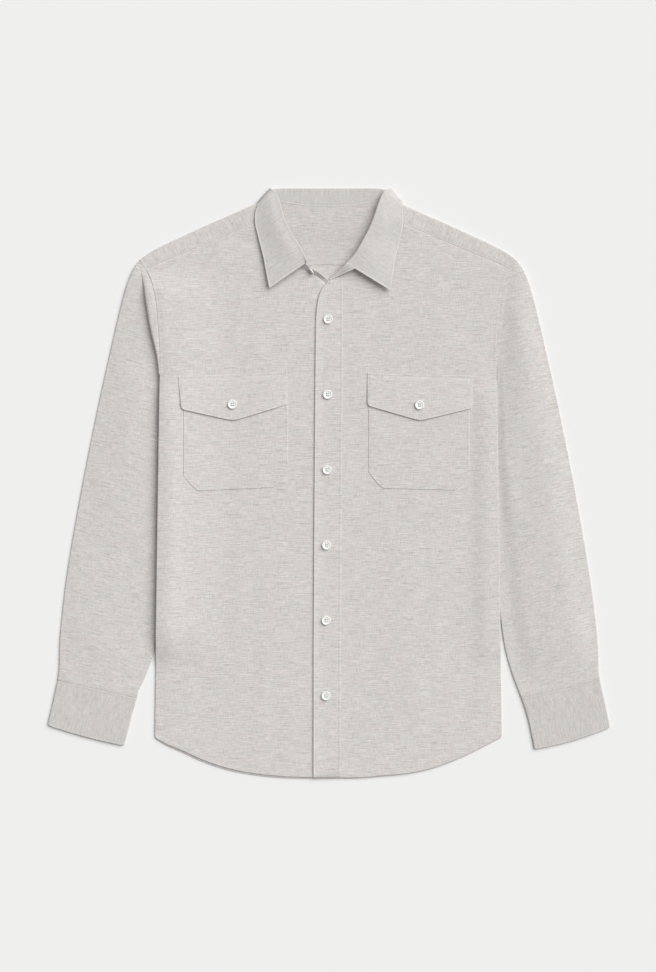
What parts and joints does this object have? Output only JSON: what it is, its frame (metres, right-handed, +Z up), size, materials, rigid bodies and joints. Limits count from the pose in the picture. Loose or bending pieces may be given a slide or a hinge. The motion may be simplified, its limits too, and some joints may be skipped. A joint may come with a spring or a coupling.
{
  "type": "shirt",
  "caption": "Long-sleeved button-front shirt with a turned-down collar and flapped chest pockets, laid flat with its front up.",
  "frame": {"origin": "on the surface under the middle of the outline of the shirt as it lies", "axes": "+X across the shirt to the viewer's right, +Y from the hem up to the collar, +Z up from the surface"},
  "size_m": [0.7614, 0.794, 0.0107],
  "materials": {
    "body_cloth": "slub weave, matt",
    "collar_cloth": "slub weave, matt",
    "sleeve_cloth": "slub weave, matt",
    "button": "satin"
  },
  "bodies": {
    "root": {"back": "body_cloth", "yoke": "body_cloth", "front_left": "body_cloth", "front_right": "body_cloth", "placket": "body_cloth", "collar_stand": "collar_cloth", "collar_fall": "collar_cloth", "sleeve_left": "sleeve_cloth", "sleeve_right": "sleeve_cloth", "cuff_left": "sleeve_cloth", "cuff_right": "sleeve_cloth", "pocket_left": "body_cloth", "pocket_flap_left": "body_cloth", "pocket_right": "body_cloth", "pocket_flap_right": "body_cloth", "placket_button_1": "button", "placket_button_2": "button", "placket_button_3": "button", "placket_button_4": "button", "placket_button_5": "button", "placket_button_6": "button", "flap_button_left": "button", "flap_button_right": "button", "collar_button": "button"}
  },
  "joints": []
}
